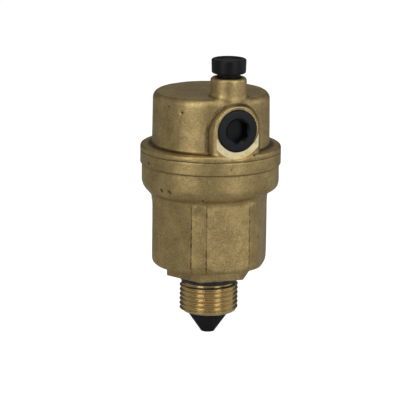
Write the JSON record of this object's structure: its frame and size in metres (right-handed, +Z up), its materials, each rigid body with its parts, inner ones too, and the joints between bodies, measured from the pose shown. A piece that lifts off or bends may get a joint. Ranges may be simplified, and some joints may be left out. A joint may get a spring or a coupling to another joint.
{
  "type": "automatic air vent",
  "caption": "Float-operated brass air vent with a screw-down vent cap, a plugged side port, spanner flats and a threaded inlet nipple sealed by an O-ring.",
  "frame": {"origin": "centre of the O-ring seat recessed under the spanner hexagon, on the inlet's axis", "axes": "+Z up the housing's axis away from the inlet, -Y out of the side port and towards the vent cap's side, +X to the right when the port faces the viewer"},
  "size_m": [0.0396, 0.0396, 0.0804],
  "materials": {
    "cast_brass": "hot-stamped and shot-blasted, dull, with machined threads and faces",
    "turned_brass": "turned, bright",
    "stainless_steel": "pressed, satin",
    "black_plastic": "moulded, satin",
    "black_rubber": "smooth moulded rubber"
  },
  "bodies": {
    "housing": {"body": "cast_brass", "cover": "cast_brass", "cover_o_ring": "black_rubber", "nipple_o_ring": "black_rubber", "lever_bracket": "stainless_steel", "bracket_screw_left": "stainless_steel", "bracket_screw_right": "stainless_steel", "pivot_pin": "stainless_steel", "valve_seat": "turned_brass", "valve_seat_o_ring": "black_rubber"},
    "float": {"float_shell": "black_plastic", "float_lid": "black_plastic", "float_nose": "black_plastic", "float_hanger": "stainless_steel", "link_pin": "stainless_steel"},
    "lever": {"lever": "stainless_steel"},
    "valve_stem": {"valve_stem": "turned_brass", "valve_seal": "black_rubber", "valve_spring": "stainless_steel"},
    "vent_cap_travel": {"vent_cap_o_ring": "black_rubber"},
    "vent_cap": {"vent_cap": "black_plastic"},
    "side_plug_travel": {"side_plug_o_ring": "black_rubber"},
    "side_plug": {"side_plug": "black_plastic"}
  },
  "joints": [
    {"name": "float_rise", "type": "slide", "parent": "housing", "child": "float", "axis": [0, 0, 1], "range_m": [0, 0.004]},
    {"name": "lever_swing", "type": "hinge", "parent": "housing", "child": "lever", "pos_m": [0, -0.0128, 0.0444], "axis": [1, 0, 0], "range_deg": [0, 17.77]},
    {"name": "valve_lift", "type": "slide", "parent": "housing", "child": "valve_stem", "axis": [0, 0, 1], "range_m": [0, 0.000501], "deforming": ["valve_spring"]},
    {"name": "vent_cap_travel", "type": "slide", "parent": "housing", "child": "vent_cap_travel", "axis": [0, 0, 1], "range_m": [0, 0.004]},
    {"name": "vent_cap_turn", "type": "hinge", "parent": "vent_cap_travel", "child": "vent_cap", "pos_m": [0, -0.0112, 0.06], "axis": [0, 0, 1], "range_deg": [0, 1441]},
    {"name": "side_plug_travel", "type": "slide", "parent": "housing", "child": "side_plug_travel", "axis": [0, -1, 0], "range_m": [0, 0.00408]},
    {"name": "side_plug_turn", "type": "hinge", "parent": "side_plug_travel", "child": "side_plug", "pos_m": [0, -0.01628, 0.04385], "axis": [0, -1, 0], "range_deg": [0, 1620.5]}
  ],
  "couplings": [
    {"joint": "lever_swing", "follows": "float_rise", "rad_per_m": 77.493},
    {"joint": "valve_lift", "follows": "float_rise", "ratio": 0.125},
    {"joint": "vent_cap_turn", "follows": "vent_cap_travel", "rad_per_m": 6283.2},
    {"joint": "side_plug_turn", "follows": "side_plug_travel", "rad_per_m": 6927.4}
  ]
}
